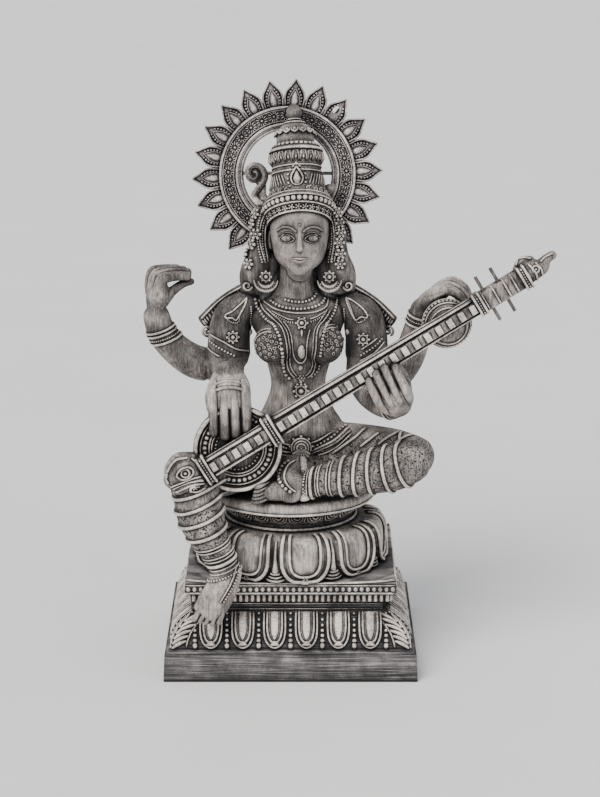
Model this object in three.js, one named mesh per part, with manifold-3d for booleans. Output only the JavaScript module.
// Saraswati seated on a lotus and playing the veena: a painted stone-resin casting with a
// separately cast halo, a steel pin that carries the halo, and two steel rods for the tuning pegs.
// Millimetres, +Z up, the viewer looks along +Y. The origin is the middle of the plinth's underside.

import * as THREE from "three";
import { mergeVertices } from "three/addons/utils/BufferGeometryUtils.js";
import Module from "manifold-3d";

const wasm = await Module();
wasm.setup();

// Plinth
const plinthWidth = 393;
const plinthDepth = 356;
const footBandHeight = 44;
const footBandBatter = 2;
const footLedgeRise = 6;
const petalTierHeight = 49;
const petalTierInset = 11;
const petalTierBatter = 36;
const petalTierSwell = 10;
const friezeHeight = 25;
const friezeInset = 5;
const slabHeight = 26;
const slabCornerRise = 6;
const slabOverhang = 20;
const petalsPerSide = 6;
const plinthPetalWidth = 38;
const plinthPetalRelief = 4;

// Lotus and seat
const lotusRadius = 152;
const lotusNeckRadius = 96;
const lotusHeight = 69;
const lotusPetals = 10;
const lotusPetalRelief = 9;
const lotusTurn = 8.8;
const seatNeckRadius = 100;
const seatNeckHeight = 14;
const seatBandRadius = 110;
const seatBandHeight = 18;
const seatRadius = 132;
const seatHeight = 21;

// Figure: the pose tables are written for a figure 600 tall from the seat to the crown's tip
const figureHeight = 600;
const poseHeight = 600;
const crownLean = 20;
const crownSideLean = 3;
const headLean = 7;

// Veena
const veenaTilt = 30.9;
const veenaTurn = 5;
const bowlRadius = 68;
const bowlDepth = 52;
const bowlRim = 7;
const boardWidth = 30;
const neckWidth = 33;
const neckEndWidth = 27;
const neckThickness = 22;
const pegboxWidth = 29;
const upperGourdRadius = 37;
const fretWidth = 17;

// Halo
const haloHoleRadius = 69;
const haloRingRadius = 107;
const haloTipRadius = 151.5;
const haloThickness = 12;
const haloRimRelief = 3;
const haloRays = 22;
const haloRayTurn = 5.5;
const haloLean = 6;

// Steel rods and the clearances round them
const rodRadius = 2.75;
const rodClearance = 0.35;
const pegRodLength = 78;
const pegRodPlaces = [444, 470];
const pinSocketDepth = 9;
const seatingGap = 0.3;

const degrees = Math.PI / 180;
const axisX = new THREE.Vector3(1, 0, 0);
const axisY = new THREE.Vector3(0, 1, 0);
const axisZ = new THREE.Vector3(0, 0, 1);

// Heights of the tiers, from the ground up
const petalTierBase = footBandHeight + footLedgeRise;
const friezeBase = petalTierBase + petalTierHeight;
const slabBase = friezeBase + friezeHeight;
const slabTop = slabBase + slabHeight;
const seatNeckBase = slabTop + lotusHeight;
const seatBandBase = seatNeckBase + seatNeckHeight;
const seatBase = seatBandBase + seatBandHeight;
const seatTop = seatBase + seatHeight;

const pose = figureHeight / poseHeight;

// A closed three.js geometry as a solid
function solidOf(geometry) {
  const bare = new THREE.BufferGeometry();
  bare.setAttribute("position", geometry.getAttribute("position"));
  bare.setIndex(geometry.index);
  const merged = mergeVertices(bare, 1e-3);
  const vertProperties = merged.getAttribute("position").array;
  const triVerts = new Uint32Array(merged.index.array);
  return new wasm.Manifold(new wasm.Mesh({ numProp: 3, vertProperties, triVerts }));
}

function geometryOf(solid) {
  const { vertProperties, triVerts } = solid.getMesh();
  const geometry = new THREE.BufferGeometry();
  geometry.setAttribute("position", new THREE.BufferAttribute(vertProperties, 3));
  geometry.setIndex(new THREE.BufferAttribute(triVerts, 1));
  return geometry;
}

const joined = (solids) => solids.reduce((sum, solid) => sum.add(solid));

// Moves every vertex of a geometry by a function of its place
function reshape(geometry, change) {
  const places = geometry.getAttribute("position");
  const place = new THREE.Vector3();
  for (let i = 0; i < places.count; i++) {
    change(place.fromBufferAttribute(places, i));
    places.setXYZ(i, place.x, place.y, place.z);
  }
  return geometry;
}

// A rounded form along a smooth line. Each station is [x, y, z, half width, half depth] in pose
// units above the seat; across is the direction of the width, and folds raise rings of cloth.
function limb(stations, { sides = 8, steps = 1, caps = 1, across = axisX, folds = null } = {}) {
  const line = new THREE.CatmullRomCurve3(stations.map(([x, y, z]) => new THREE.Vector3(x, y, z)));
  const girth = new THREE.CatmullRomCurve3(stations.map(([, , , a, b]) => new THREE.Vector3(a, b, 0)));
  const capsule = new THREE.CapsuleGeometry(1, 1, caps, sides, steps * (stations.length - 1));
  const width = new THREE.Vector3();
  const depth = new THREE.Vector3();
  reshape(capsule, (place) => {
    const along = THREE.MathUtils.clamp(place.y + 0.5, 0, 1);
    const beyond = place.y + 0.5 - along;
    const tangent = line.getTangent(along);
    const size = girth.getPoint(along);
    width.copy(across).addScaledVector(tangent, -across.dot(tangent)).normalize();
    depth.crossVectors(width, tangent);
    const swell = folds ? 1 + folds.rise * foldShape(folds, along, place) : 1;
    const { x, z } = place;
    line.getPoint(along, place);
    place.addScaledVector(tangent, beyond * Math.min(size.x, size.y));
    place.addScaledVector(width, x * size.x * swell);
    place.addScaledVector(depth, z * size.y * swell);
  });
  return solidOf(onSeat(capsule));
}

// Rings of cloth that lean across the limb, from start to end of its length
function foldShape({ count, start, end, slant = 0 }, along, side) {
  const share = (along + slant * side.x - start) / (end - start);
  if (share <= 0 || share >= 1) return 0;
  return Math.max(0, Math.cos(2 * Math.PI * (share * count - 0.5))) ** 2;
}

// Pose units above the seat, as places in the part
const onSeat = (geometry) => geometry.scale(pose, pose, pose).translate(0, 0, seatTop);

function ball([x, y, z], [a, b, c], detail = 8) {
  const sphere = new THREE.SphereGeometry(1, detail, Math.ceil(detail * 0.6));
  return solidOf(onSeat(sphere.rotateX(Math.PI / 2).scale(a, b, c).translate(x, y, z)));
}

// A round form on a leaning axis: profile pairs are [radius, height] from the axis and back to it
function turned(profile, sides = 20) {
  const lathe = new THREE.LatheGeometry(profile.map(([r, h]) => new THREE.Vector2(r, h)), sides);
  return lathe.rotateX(Math.PI / 2);
}

// A tier of the plinth: a box whose top is narrower by its batter on each side
function tier(width, depth, base, height, batter) {
  const box = new THREE.BoxGeometry(width, depth, height).translate(0, 0, base + height / 2);
  const narrow = 1 - (2 * batter) / width;
  const shallow = 1 - (2 * batter) / depth;
  reshape(box, (place) => {
    if (place.z > base + height / 2) place.set(place.x * narrow, place.y * shallow, place.z);
  });
  return solidOf(box);
}

// The petal tier swells: its lower half is steep, and its upper half lies back to the frieze
const tierMiddleInset = petalTierBatter / 2 - petalTierSwell;
const tierHalves = [
  [petalTierBase, 0, tierMiddleInset],
  [petalTierBase + petalTierHeight / 2, tierMiddleInset, petalTierBatter],
];

// How far the tier's face has drawn in at a share of its height
function tierInset(share) {
  if (share < 0.5) return THREE.MathUtils.lerp(0, tierMiddleInset, 2 * share);
  return THREE.MathUtils.lerp(tierMiddleInset, petalTierBatter, 2 * share - 1);
}

// A hanging petal's rows from its top down: share of the tier's height, share of its own width
const petalRows = [
  [0.97, 1],
  [0.5, 1],
  [0.27, 1],
  [0.07, 0.42],
];

// The plinth's four walls of petals, lying on the swelling tier
function petalWalls() {
  const bottomWidth = plinthWidth - 2 * (footBandBatter + petalTierInset);
  const bottomDepth = plinthDepth - 2 * (footBandBatter + petalTierInset);
  const solids = [];
  for (let side = 0; side < 4; side++) {
    const faceWidth = side % 2 ? bottomDepth : bottomWidth;
    const reach = (side % 2 ? bottomWidth : bottomDepth) / 2;
    const pitch = (faceWidth - 2 * petalTierBatter) / petalsPerSide;
    for (let i = 0; i < petalsPerSide; i++) {
      const across = (i - (petalsPerSide - 1) / 2) * pitch;
      const leaf = new THREE.BoxGeometry(1, 1, 1, 1, petalRows.length - 1, 1);
      reshape(leaf, (place) => {
        const [share, breadth] = petalRows[Math.round((0.5 - place.y) * (petalRows.length - 1))];
        const outward = reach - tierInset(share) + 2 * place.z * plinthPetalRelief;
        place.set(across + place.x * plinthPetalWidth * breadth, -outward, petalTierBase + share * petalTierHeight);
      });
      solids.push(solidOf(leaf.rotateZ((side * Math.PI) / 2)));
    }
  }
  return joined(solids);
}

function plinth() {
  const tierWidth = plinthWidth - 2 * (footBandBatter + petalTierInset);
  const tierDepth = plinthDepth - 2 * (footBandBatter + petalTierInset);
  const friezeWidth = tierWidth - 2 * (petalTierBatter + friezeInset);
  const friezeDepth = tierDepth - 2 * (petalTierBatter + friezeInset);
  const slabWidth = friezeWidth + 2 * slabOverhang;
  const slabDepth = friezeDepth + 2 * slabOverhang;
  const overlap = 1;
  const bandTopWidth = plinthWidth - 2 * footBandBatter;
  const bandTopDepth = plinthDepth - 2 * footBandBatter;
  const slabSides = new THREE.BoxGeometry(slabWidth, slabDepth, slabHeight, 4, 4, 1);
  reshape(slabSides, (place) => {
    const corner = Math.abs((2 * place.x) / slabWidth) ** 3 * Math.abs((2 * place.y) / slabDepth) ** 3;
    if (place.z > 0) place.z += slabCornerRise * corner;
  });
  return joined([
    tier(plinthWidth, plinthDepth, 0, footBandHeight, footBandBatter),
    tier(bandTopWidth, bandTopDepth, footBandHeight, footLedgeRise, petalTierInset),
    ...tierHalves.map(([base, low, high]) => {
      const height = petalTierHeight / 2 + overlap / 2;
      return tier(tierWidth - 2 * low, tierDepth - 2 * low, base - overlap / 2, height, high - low);
    }),
    tier(friezeWidth, friezeDepth, friezeBase - overlap, friezeHeight + 2 * overlap, 0),
    solidOf(slabSides.translate(0, 0, slabBase + slabHeight / 2)),
    petalWalls(),
  ]);
}

// How far a lotus petal stands proud at an angle and a height share: large petals with small
// ones between them, each with a raised rim round a shallow bowl
function lotusRelief(angle, share) {
  const turn = ((angle - lotusTurn * degrees) * lotusPetals) / (2 * Math.PI);
  const offset = Math.abs(turn - Math.round(turn));
  const halfWidth = 0.4 * Math.sqrt(Math.max(0, 1 - Math.abs(1 - share * 1.5) ** 3));
  if (offset > halfWidth) return offset > 0.43 ? 0.35 * (1 - share) : 0;
  const inwards = offset / Math.max(halfWidth, 1e-6);
  return inwards > 0.72 ? 1 : 0.45 + 0.3 * inwards;
}

function lotus() {
  const profile = [new THREE.Vector2(0, 0)];
  for (const share of [0, 0.3, 0.58, 0.8, 0.94, 1]) {
    const fullness = (1 - share ** 5) ** 0.2;
    const radius = THREE.MathUtils.lerp(lotusNeckRadius, lotusRadius - lotusPetalRelief, fullness);
    profile.push(new THREE.Vector2(radius, share * lotusHeight));
  }
  profile.push(new THREE.Vector2(0, lotusHeight));
  const lathe = new THREE.LatheGeometry(profile, lotusPetals * 6).rotateX(Math.PI / 2);
  reshape(lathe, (place) => {
    const radius = Math.hypot(place.x, place.y);
    if (radius < 1) return;
    const share = place.z / lotusHeight;
    const relief = lotusPetalRelief * lotusRelief(Math.atan2(place.x, -place.y), share);
    place.x *= (radius + relief) / radius;
    place.y *= (radius + relief) / radius;
  });
  return solidOf(lathe.translate(0, 0, slabTop - 1));
}

function seat() {
  const under = -2;
  const neckTop = seatBandBase - seatNeckBase;
  const bandTop = seatBase - seatNeckBase;
  const top = seatTop - seatNeckBase;
  const profile = [
    [0, under],
    [seatNeckRadius, under],
    [seatNeckRadius - 2, neckTop],
    [seatBandRadius, bandTop - 2],
    [seatRadius - 8, bandTop],
    [seatRadius, bandTop + seatHeight * 0.3],
    [seatRadius, bandTop + seatHeight * 0.75],
    [seatRadius - 7, top],
    [0, top],
  ];
  return solidOf(turned(profile, 24).translate(0, 0, seatNeckBase));
}

// Right and left are the figure's own; the viewer sees her right hand on the left
function torso() {
  return joined([
    limb(
      [
        [11, 18, 22, 78, 58],
        [12, 8, 84, 73, 50],
        [12, 3, 118, 56, 40],
        [12, 0, 156, 43, 35],
        [12, -2, 192, 49, 39],
        [13, -3, 228, 60, 43],
        [12, 2, 256, 73, 41],
        [10, 7, 278, 78, 31],
        [9, 8, 296, 48, 26],
        [9, 4, 318, 27, 25],
        [10, 0, 352, 27, 26],
      ],
      { sides: 13 },
    ),
    ball([-27, -36, 232], [30, 31, 32], 9),
    ball([53, -36, 232], [30, 31, 32], 9),
  ]);
}

function rightLeg() {
  const thigh = [
    [-22, 5, 44, 56, 44],
    [-62, -42, 49, 50, 43],
    [-112, -90, 44, 44, 40],
    [-143, -115, 28, 34, 35],
  ];
  const shin = [
    [-146, -120, 30, 36, 32],
    [-141, -130, -2, 37, 32],
    [-134, -144, -25, 35, 31],
    [-122, -157, -49, 28, 27],
    [-108, -168, -70, 23, 22],
    [-101, -175, -88, 21, 20],
  ];
  const foot = [
    [-95, -172, -90, 22, 19],
    [-103, -182, -114, 24, 17],
    [-117, -189, -138, 25, 12],
    [-130, -192, -156, 22, 8],
  ];
  return joined([
    limb(thigh, { sides: 10, across: axisZ }),
    limb(shin, { sides: 8, steps: 3, folds: { count: 5, start: 0.12, end: 0.86, slant: 0.05, rise: 0.1 } }),
    limb(foot),
  ]);
}

function leftLeg() {
  const thigh = [
    [50, 6, 46, 50, 46],
    [104, -14, 54, 43, 44],
    [160, -34, 56, 38, 38],
    [196, -50, 54, 32, 32],
  ];
  const shin = [
    [190, -66, 50, 33, 30],
    [156, -86, 45, 36, 36],
    [110, -103, 41, 32, 32],
    [66, -112, 36, 26, 26],
    [36, -115, 31, 20, 20],
  ];
  const foot = [
    [34, -116, 26, 18, 18],
    [2, -119, 21, 18, 16],
    [-26, -121, 18, 15, 14],
    [-46, -122, 17, 11, 12],
  ];
  return joined([
    limb(thigh, { sides: 10, across: axisZ }),
    limb(shin, {
      sides: 8,
      steps: 4,
      across: axisZ,
      folds: { count: 6, start: 0.0, end: 0.95, slant: -0.05, rise: 0.09 },
    }),
    limb(foot, { across: axisZ }),
  ]);
}

// A hand in its own frame: +Y runs along the fingers, +X to the thumb's side, +Z out of the back.
// Curl turns each finger joint towards the palm, in degrees; size is a share of the usual hand.
const palmLength = 46;
const palmHalfWidth = 30;
const fingerReach = [40, 46, 48, 42];

function hand(place, along, back, { thumbSide, curl, thumb, size = 1 }) {
  const fingersWay = new THREE.Vector3(...along).normalize();
  const out = new THREE.Vector3(...back);
  out.addScaledVector(fingersWay, -out.dot(fingersWay)).normalize();
  const side = new THREE.Vector3().crossVectors(fingersWay, out).multiplyScalar(thumbSide);
  const at = (x, y, z) =>
    new THREE.Vector3(...place)
      .addScaledVector(side, x * size)
      .addScaledVector(fingersWay, y * size)
      .addScaledVector(out, z * size);
  const station = (x, y, z, a, b) => [...at(x, y, z).toArray(), a * size, b * size];
  const solids = [
    limb([station(0, 0, 0, 20, 16), station(0, 20, 1, 29, 15), station(0, palmLength, 0, palmHalfWidth, 10)], {
      across: side,
    }),
  ];
  fingerReach.forEach((reach, i) => {
    const across = (i - 1.5) * 14.6;
    let y = palmLength - 4;
    let z = 0;
    let turn = curl[0] * degrees;
    const stations = [station(across, y, z, 7.1, 8.4)];
    for (let joint = 1; joint <= 3; joint++) {
      y += (Math.cos(turn) * reach) / 3;
      z -= (Math.sin(turn) * reach) / 3;
      turn += curl[joint % 3] * degrees;
      stations.push(station(across * (1 - 0.01 * joint), y, z, 7.1 - joint * 0.2, 8.4 - joint * 0.5));
    }
    solids.push(limb(stations, { sides: 4, across: side }));
  });
  const thumbStations = thumb.map(([x, y, z], i) => station(x, y, z, 9 - i * 1.2, 8.5 - i));
  solids.push(limb(thumbStations, { sides: 4, across: fingersWay }));
  return joined(solids);
}

function arms() {
  const cuff = { sides: 9 };
  const rightSleeve = [
    [-68, 8, 286, 22, 22],
    [-88, 9, 266, 31, 30],
    [-96, 10, 236, 33, 33],
    [-97, 8, 206, 34, 34],
  ];
  const rightFront = [
    [-96, 4, 214, 27, 27],
    [-98, -2, 180, 25, 25],
    [-96, -16, 156, 24, 24],
    [-96, -52, 166, 22, 21],
    [-94, -99, 196, 19, 17],
  ];
  const rightRear = [
    [-92, 20, 206, 28, 28],
    [-116, 28, 184, 27, 27],
    [-150, 30, 187, 27, 27],
    [-179, 26, 207, 25, 24],
    [-201, 20, 234, 23, 21],
    [-211, 16, 266, 21, 19],
  ];
  const leftSleeve = rightSleeve.map(([x, y, z, a, b]) => [22 - x, y, z, a, b]);
  const leftFront = [
    [116, 4, 212, 27, 27],
    [112, -6, 174, 25, 25],
    [124, -34, 153, 24, 24],
    [145, -64, 143, 23, 22],
    [164, -86, 144, 21, 18],
  ];
  const leftRear = [
    [112, 20, 210, 28, 28],
    [136, 22, 182, 26, 26],
    [163, 14, 170, 25, 25],
    [184, 4, 200, 25, 25],
    [197, -6, 242, 23, 22],
    [207, -18, 284, 21, 17],
  ];
  return joined([
    limb(rightSleeve, cuff),
    limb(leftSleeve, cuff),
    limb(rightFront),
    limb(rightRear),
    limb(leftFront),
    limb(leftRear),
    bangle([-203, 20, 236], [-0.5, -0.2, 0.84], 22),
    hand([-94, -110, 206], [0.03, -0.36, -1], [0, -1, 0.36], {
      size: 1.12,
      thumbSide: 1,
      curl: [4, 12, 10],
      thumb: [[16, 12, -4], [26, 30, -14], [26, 48, -24]],
    }),
    hand([-210, 15, 283], [0.1, -0.05, 1], [-1, -0.42, 0.1], {
      thumbSide: 1,
      curl: [52, 32, 6],
      thumb: [[12, 6, -6], [20, 26, -16], [18, 38, -34], [12, 40, -50]],
    }),
    hand([168, -88, 144], [-0.3, -0.72, 0.6], [0.35, -0.45, -0.8], {
      thumbSide: 1,
      curl: [24, 14, 10],
      thumb: [[16, 4, -6], [24, 12, -32], [20, 8, -62]],
    }),
    hand([210, -22, 292], [0.74, -0.25, 0.62], [-0.62, 0.1, 0.78], {
      thumbSide: 1,
      curl: [30, 46, 30],
      thumb: [[14, 8, -6], [24, 22, -16], [26, 42, -26]],
    }),
  ]);
}

// Three close rings round a wrist or an ankle
function bangle(centre, way, radius) {
  const turnTo = new THREE.Quaternion().setFromUnitVectors(axisZ, new THREE.Vector3(...way).normalize());
  const ring = turned(
    [
      [0, -11],
      [radius + 4, -8],
      [radius + 1, -3],
      [radius + 5, 1],
      [radius + 1, 5],
      [radius + 4, 10],
      [0, 13],
    ],
    9,
  );
  return solidOf(onSeat(ring.applyQuaternion(turnTo).translate(...centre)));
}

const headX = 14;

// The head leans back a little, and the crown leans back from it
function headPlace(x, y, z) {
  const lean = headLean * degrees;
  return [headX + x, y * Math.cos(lean) + z * Math.sin(lean), 393 + z * Math.cos(lean) - y * Math.sin(lean)];
}

function head() {
  const skull = [
    [0, -16, -50, 20, 26],
    [0, -13, -34, 36, 38],
    [0, -8, -10, 43, 43],
    [0, -4, 16, 46, 46],
    [0, 0, 44, 44, 44],
  ].map(([x, y, z, a, b]) => [...headPlace(x, y, z), a, b]);
  const features = [];
  for (const side of [-1, 1]) {
    features.push(ball(headPlace(side * 18, -42, 0), [9, 7, 5], 6));
    const brow = [
      [...headPlace(side * 8, -49, 13), 3, 3],
      [...headPlace(side * 31, -38, 12), 2, 2],
    ];
    features.push(limb(brow, { sides: 4, steps: 2, across: axisZ }));
  }
  const nose = [
    [...headPlace(0, -48, 12), 4, 4],
    [...headPlace(0, -58, -20), 7, 6],
  ];
  features.push(limb(nose, { sides: 5 }));
  features.push(ball(headPlace(0, -47, -32), [12, 7, 4], 6));
  features.push(ball(headPlace(0, -40, -50), [11, 9, 9], 6));
  return joined([limb(skull, { sides: 12, steps: 1 }), ...features]);
}

const crownBase = [13, 6, 428];
const crownProfile = [
  [0, -4],
  [48, -4],
  [54, 10],
  [54, 24],
  [46, 30],
  [41, 50],
  [37, 72],
  [41, 84],
  [41, 100],
  [27, 106],
  [29, 128],
  [23, 138],
  [9, 147],
  [11, 162],
  [0, 172],
];

function crown() {
  const lean = (geometry) => geometry.rotateX(-crownLean * degrees).rotateY(-crownSideLean * degrees);
  const round = turned(crownProfile, 12);
  const jewelHeight = 52;
  const jewel = new THREE.SphereGeometry(1, 8, 5).scale(10, 6, 15).translate(0, -40, jewelHeight);
  const curl = new THREE.ExtrudeGeometry(curlShape(), { depth: 12, bevelEnabled: false, curveSegments: 2 });
  curl.scale(1.2, 1.15, 1).translate(0, 0, -6).rotateX(Math.PI / 2).translate(-50, 8, 41);
  const stub = new THREE.SphereGeometry(1, 6, 4).scale(12, 8, 11).translate(46, 4, 38);
  return joined(
    [round, jewel, curl, stub].map((piece) => solidOf(onSeat(lean(piece).translate(...crownBase)))),
  );
}

// The side scroll of the crown, an S with a hooked top, drawn in the plane across the head
function curlShape() {
  const shape = new THREE.Shape();
  shape.moveTo(8, -12);
  shape.quadraticCurveTo(-14, -8, -12, 6);
  shape.quadraticCurveTo(-6, 12, -12, 20);
  shape.quadraticCurveTo(-28, 14, -26, 28);
  shape.quadraticCurveTo(-20, 40, -4, 34);
  shape.quadraticCurveTo(8, 28, 8, 12);
  return shape;
}

function hair() {
  const solids = [
    limb(
      [
        [11, 16, 436, 46, 36],
        [11, 22, 400, 46, 36],
        [11, 26, 360, 44, 30],
        [11, 26, 320, 46, 24],
        [11, 28, 284, 40, 18],
        [11, 32, 240, 26, 12],
      ],
      { sides: 10 },
    ),
  ];
  for (const side of [-1, 1]) {
    const across = (x) => 11 + side * x;
    const lock = [
      [across(55), 8, 428, 12, 14],
      [across(60), 8, 396, 14, 17],
      [across(61), 4, 362, 18, 19],
      [across(68), 2, 334, 22, 19],
      [across(66), 6, 312, 23, 14],
    ];
    solids.push(limb(lock));
    const earring = turned(
      [
        [0, -8],
        [17, -8],
        [19, -1],
        [11, 4],
        [0, 7],
      ],
      9,
    );
    earring.rotateX(Math.PI / 2).translate(across(49), -22, 332);
    solids.push(solidOf(onSeat(earring)));
  }
  return joined(solids);
}

// Two stiff scarf ends that stand behind the shoulders
function scarf() {
  const solids = [];
  for (const side of [-1, 1]) {
    const across = (x) => 11 + side * x;
    const wing = [
      [across(58), 20, 312, 15, 8],
      [across(84), 24, 298, 17, 8],
      [across(114), 27, 274, 20, 8],
      [across(142), 28, 246, 20, 8],
    ];
    const face = new THREE.Vector3(side * 0.65, 0, 0.76);
    solids.push(limb(wing, { sides: 6, across: face }));
  }
  return joined(solids);
}

// Raised lines of jewellery that show from a step away: collars, garlands, girdle and tassels
function jewellery() {
  const cord = (stations, radius) =>
    limb(
      stations.map((place) => [...place, radius, radius]),
      { sides: 4, across: axisY },
    );
  const solids = [];
  solids.push(cord([[-40, -2, 288], [-14, -34, 274], [12, -42, 268], [38, -34, 274], [64, -2, 288]], 4));
  solids.push(ball([14, -34, 152], [10, 8, 11], 7));
  solids.push(ball([16, -62, 66], [17, 10, 15], 7));
  const tassel = [
    [16, -66, 56, 9, 7],
    [18, -98, 44, 9, 7],
    [20, -128, 24, 10, 7],
    [22, -130, 6, 11, 6],
  ];
  solids.push(limb(tassel, { sides: 5 }));
  return joined(solids);
}

// The veena's own frame: +X along the neck, +Y across the board, +Z out of its face
const bowlPlace = new THREE.Vector3(-81, -124, 88);

function onVeena(geometry) {
  return onSeat(
    geometry
      .rotateX(Math.PI / 2)
      .rotateY(-veenaTilt * degrees)
      .rotateZ(veenaTurn * degrees)
      .translate(bowlPlace.x, bowlPlace.y, bowlPlace.z),
  );
}

function bar(from, to, width, endWidth, thickness, lift) {
  const box = new THREE.BoxGeometry(to - from, width, thickness).translate((from + to) / 2, 0, lift);
  reshape(box, (place) => {
    if (place.x > (from + to) / 2) place.y *= endWidth / width;
  });
  return solidOf(onVeena(box));
}

const boardFace = 20;
const bracketPlaces = [-59, 60, 429, 508];

function veena() {
  const bowl = turned(
    [
      [0, -bowlDepth],
      [bowlRadius * 0.5, -bowlDepth * 0.88],
      [bowlRadius * 0.86, -bowlDepth * 0.5],
      [bowlRadius, 0],
      [bowlRadius, 6],
      [bowlRadius - bowlRim, 6],
      [bowlRadius - bowlRim, 0],
      [0, 0],
    ],
    20,
  );
  const neckStart = 40;
  const [tailBracket, bodyBracket, upperBracket, endBracket] = bracketPlaces;
  const solids = [
    solidOf(onVeena(bowl)),
    bar(tailBracket, bodyBracket, boardWidth, boardWidth, boardFace, boardFace / 2 - 2),
    bar(neckStart, upperBracket, neckWidth, neckEndWidth, neckThickness, boardFace - 4 - neckThickness / 2),
    bar(upperBracket, endBracket, pegboxWidth, pegboxWidth, 26, 6),
    bar(tailBracket, upperBracket, fretWidth, fretWidth, 6, boardFace - 2),
  ];
  const bracketSizes = [
    [13, 40],
    [17, 46],
    [13, 33],
    [13, 35],
  ];
  bracketPlaces.forEach((place, i) => {
    const [length, width] = bracketSizes[i];
    solids.push(bar(place - length / 2, place + length / 2, width, width, 30, 7));
  });
  solids.push(upperGourd(), serpentHead(), tailHead());
  return joined(solids);
}

function upperGourd() {
  const place = 372;
  const gourd = new THREE.SphereGeometry(upperGourdRadius, 10, 7).translate(place, -7, -24);
  return solidOf(onVeena(gourd));
}

// A limb in the veena's frame
function veenaLimb(stations, options) {
  const turn = new THREE.Matrix4()
    .makeTranslation(bowlPlace.x, bowlPlace.y, bowlPlace.z)
    .multiply(new THREE.Matrix4().makeRotationZ(veenaTurn * degrees))
    .multiply(new THREE.Matrix4().makeRotationY(-veenaTilt * degrees))
    .multiply(new THREE.Matrix4().makeRotationX(Math.PI / 2));
  const placed = stations.map(([x, y, z, a, b]) => [...new THREE.Vector3(x, y, z).applyMatrix4(turn).toArray(), a, b]);
  return limb(placed, options);
}

// The beast's head that ends the neck, with a curled crest and an upturned snout
function serpentHead() {
  const end = bracketPlaces[3];
  const skull = [
    [end - 4, 0, 6, 15, 15],
    [end + 14, 2, 6, 17, 15],
    [end + 30, 0, 6, 13, 13],
    [end + 42, 5, 6, 8, 8],
    [end + 54, 6, 6, 7, 6],
  ];
  const crest = [
    [end - 6, 12, 0, 7, 6],
    [end + 8, 22, 0, 8, 6],
    [end + 22, 16, 2, 6, 6],
  ];
  return joined([veenaLimb(skull), veenaLimb(crest, { sides: 5 })]);
}

// The beast's head below the bowl, lying on her right knee: brow, cheek and snout
function tailHead() {
  const start = bracketPlaces[0];
  const skull = [
    [start - 4, 8, 8, 24, 20],
    [start - 22, 14, 8, 30, 24],
    [start - 38, 16, 6, 29, 22],
    [start - 49, 11, 2, 19, 16],
  ];
  const brow = [
    [start, 22, 22, 9, 8],
    [start - 24, 35, 24, 12, 10],
    [start - 44, 26, 18, 9, 8],
  ];
  const cheek = [
    [start, -12, 20, 8, 7],
    [start - 22, -15, 22, 10, 9],
    [start - 42, -5, 16, 8, 7],
  ];
  return joined([veenaLimb(skull), veenaLimb(brow, { sides: 5 }), veenaLimb(cheek, { sides: 5 })]);
}

// The halo's own frame: drawn flat, +Y up, and its face towards +Z
const haloPlace = new THREE.Vector3(crownBase[0] - 18, crownBase[1] + 64, crownBase[2] + 51);

function onHalo(geometry) {
  geometry.rotateX(Math.PI / 2 - haloLean * degrees);
  return geometry.translate(haloPlace.x * pose, haloPlace.y * pose, haloPlace.z * pose + seatTop);
}

// The ring of leaves: each one swells to a shoulder and runs out to a point
function haloLeaves() {
  const pitch = (2 * Math.PI) / haloRays;
  const shoulder = haloTipRadius - 21;
  const valley = haloRingRadius + 9;
  const at = (radius, turn) => new THREE.Vector2(radius * Math.cos(turn), radius * Math.sin(turn));
  const outline = [];
  const inner = [];
  for (let i = 0; i < haloRays; i++) {
    const middle = Math.PI / 2 - haloRayTurn * degrees + i * pitch;
    outline.push(at(valley, middle - 0.5 * pitch), at(shoulder, middle - 0.44 * pitch));
    outline.push(at(haloTipRadius, middle), at(shoulder, middle + 0.44 * pitch));
    inner.push(at(haloHoleRadius + 14, middle));
  }
  const shape = new THREE.Shape(outline);
  shape.holes.push(new THREE.Path(inner));
  return new THREE.ExtrudeGeometry(shape, { depth: haloThickness - 4, bevelEnabled: false });
}

function halo(pinSockets) {
  const back = -haloThickness / 2;
  const front = haloThickness / 2;
  const rim = haloRimRelief;
  const ring = turned(
    [
      [haloHoleRadius, back],
      [haloRingRadius, back],
      [haloRingRadius, front + rim],
      [haloRingRadius - 5, front],
      [haloHoleRadius + 12, front],
      [haloHoleRadius + 6, front + rim],
      [haloHoleRadius, back],
    ],
    haloRays,
  ).rotateZ(-haloRayTurn * degrees);
  const leaves = haloLeaves().translate(0, 0, back + 1.5);
  return joined([solidOf(onHalo(ring)), solidOf(onHalo(leaves))]).subtract(pinSockets);
}

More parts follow.
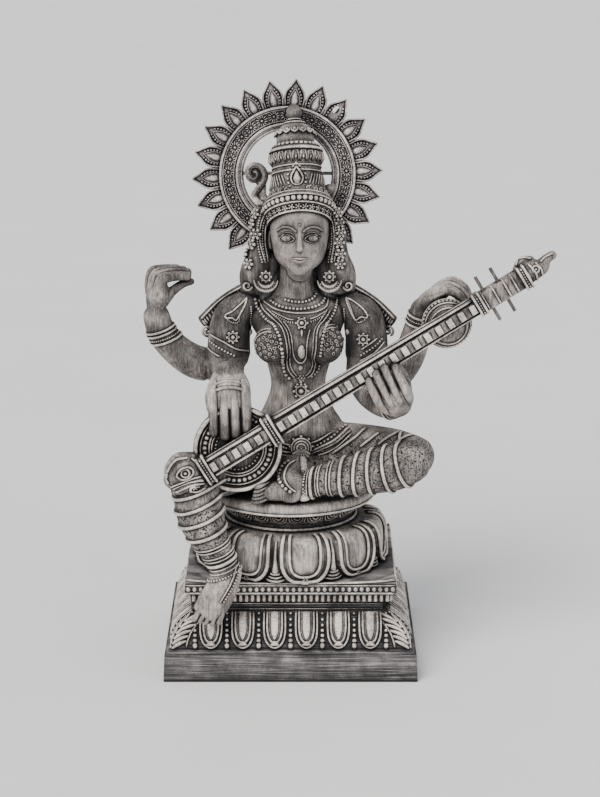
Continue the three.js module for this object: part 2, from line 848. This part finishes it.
// The pin lies across the halo's hole, through a boss on the back of the crown
const pinHeight = 2;
const pinReach = haloHoleRadius + pinSocketDepth;

function crossPin(radius, reach) {
  const pin = new THREE.CylinderGeometry(radius, radius, 2 * reach, 12);
  return solidOf(onHalo(pin.rotateZ(Math.PI / 2).translate(0, pinHeight, 0)));
}

function crownBoss() {
  const reachForward = 40;
  const boss = new THREE.BoxGeometry(22, 20, reachForward).translate(15, pinHeight, reachForward / 2 - 5);
  return solidOf(onHalo(boss));
}

// Everything behind the halo's face is cut from the hair, so that the halo lies flat against it
function haloRecess() {
  const deep = 60;
  const front = haloThickness / 2 + haloRimRelief + seatingGap;
  const disc = new THREE.CylinderGeometry(haloTipRadius + 2, haloTipRadius + 2, deep, 44);
  return solidOf(onHalo(disc.rotateX(Math.PI / 2).translate(0, 0, front - deep / 2)));
}

function pegRod(place, radius, length) {
  const rod = new THREE.CylinderGeometry(radius, radius, length, 10);
  return solidOf(onVeena(rod.translate(place, 0, 6)));
}

const stone = new THREE.MeshStandardMaterial({ color: 0x8f8880, roughness: 0.75, metalness: 0 });
const steel = new THREE.MeshStandardMaterial({ color: 0x6f655c, roughness: 0.55, metalness: 0.6 });

function named(name, solid, material) {
  const mesh = new THREE.Mesh(geometryOf(solid), material);
  mesh.name = name;
  return mesh;
}

const pegHoles = joined(pegRodPlaces.map((place) => pegRod(place, rodRadius + rodClearance, pegRodLength)));
const pinHole = crossPin(rodRadius + rodClearance, pinReach + rodClearance);

const figure = joined([torso(), rightLeg(), leftLeg(), arms(), head(), hair(), scarf(), crown()])
  .subtract(haloRecess())
  .add(joined([crownBoss(), jewellery(), veena(), plinth(), lotus(), seat()]))
  .subtract(pegHoles)
  .subtract(pinHole);

const part = new THREE.Group();
part.add(named("figure_on_lotus_plinth", figure, stone));
part.add(named("halo", halo(pinHole), stone));
part.add(named("halo_pin", crossPin(rodRadius, pinReach), steel));
pegRodPlaces.forEach((place, i) => part.add(named(`peg_rod_${i + 1}`, pegRod(place, rodRadius, pegRodLength), steel)));

export default part;
